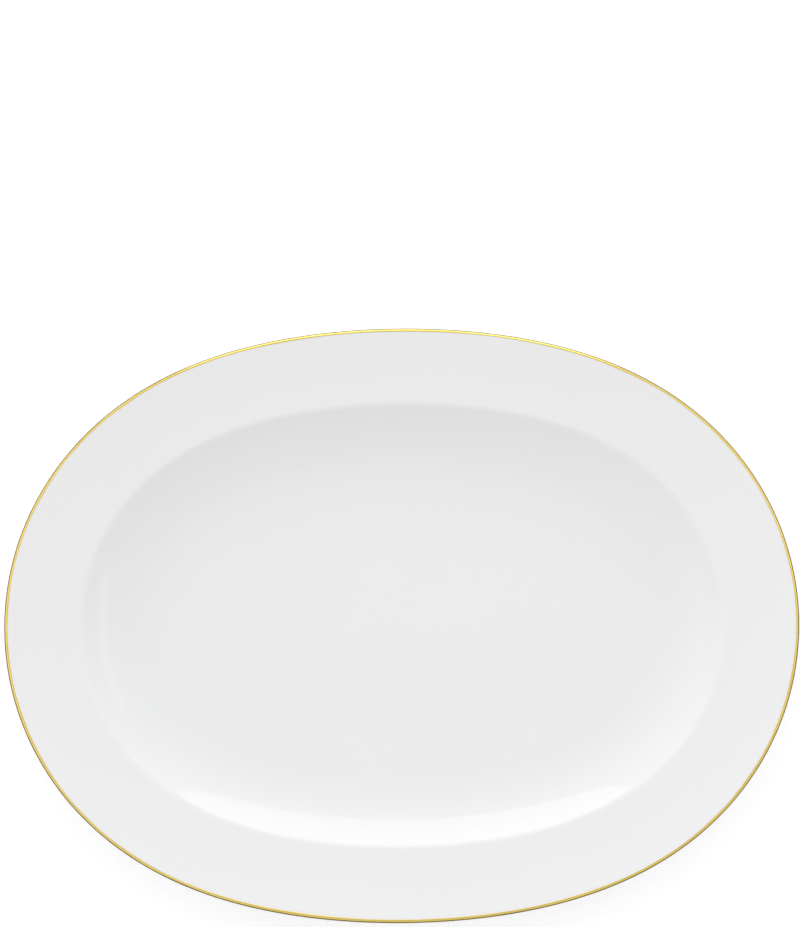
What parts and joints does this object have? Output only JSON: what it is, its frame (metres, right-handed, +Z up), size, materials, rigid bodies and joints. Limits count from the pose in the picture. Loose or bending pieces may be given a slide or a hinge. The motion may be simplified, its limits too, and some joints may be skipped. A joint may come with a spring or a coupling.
{
  "type": "serving platter",
  "caption": "Oval bone china serving platter with a broad plain rim, a shallow well, a foot ring and a thin gilded line round the lip.",
  "frame": {"origin": "middle of the plane the foot ring stands on", "axes": "+Z up out of the well, +X along the long way of the oval, +Y along the short way"},
  "size_m": [0.4062, 0.3048, 0.0289],
  "materials": {
    "bisque_china": "matte",
    "clear_glaze": "gloss",
    "burnished_gold": "polished",
    "printed_mark": "satin"
  },
  "bodies": {
    "root": {"china_body": "bisque_china", "face_glaze": "clear_glaze", "underside_glaze": "clear_glaze", "rim_gilding": "burnished_gold", "backstamp": "printed_mark"}
  },
  "joints": []
}
